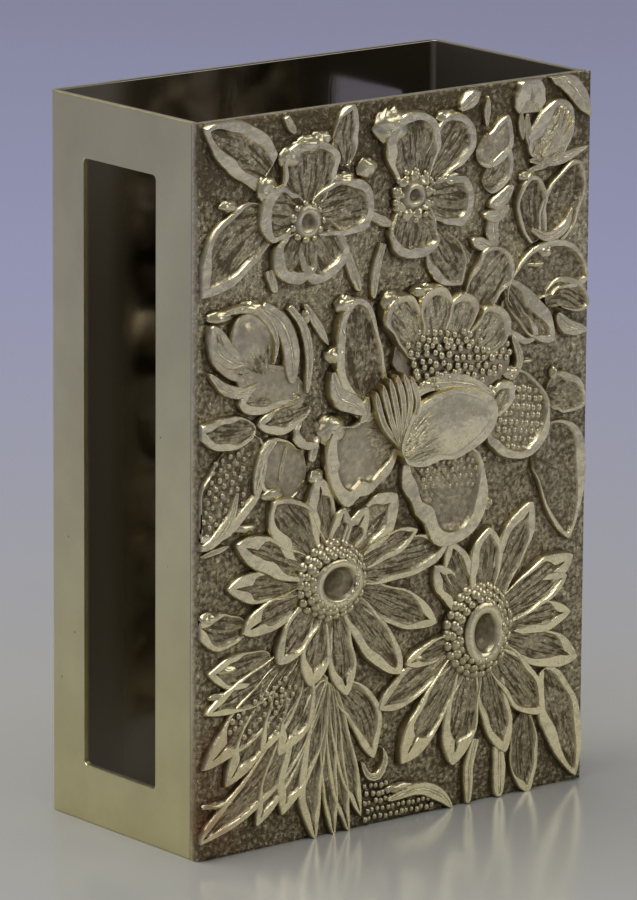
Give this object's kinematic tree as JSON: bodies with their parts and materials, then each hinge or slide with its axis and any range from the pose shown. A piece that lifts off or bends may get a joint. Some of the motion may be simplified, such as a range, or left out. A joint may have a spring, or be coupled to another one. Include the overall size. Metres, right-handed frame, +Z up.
{
  "type": "matchbox holder",
  "caption": "Silver sleeve that slides over a pocket matchbox, open at top and bottom, with a striking window in each side and a front raised in flowers and leaves.",
  "frame": {"origin": "middle of the underside of the holder's box, on the surface that it stands on", "axes": "+Z up along the way that the matchbox slides, +Y out of the plain back, the raised front faces -Y, +X to the right as seen from the front"},
  "size_m": [0.0372, 0.0198, 0.055],
  "materials": {
    "satin_silver": "sterling silver sheet, rubbed to a satin by years of handling",
    "chased_silver": "raised and chased sterling silver, bright on the high places and dark with tarnish in the hollows",
    "silver_solder": "hard silver solder, a little greyer than the sheet"
  },
  "bodies": {
    "root": {"folded_body": "satin_silver", "front_panel": "chased_silver", "solder_seam_left": "silver_solder", "solder_seam_right": "silver_solder"}
  },
  "joints": []
}
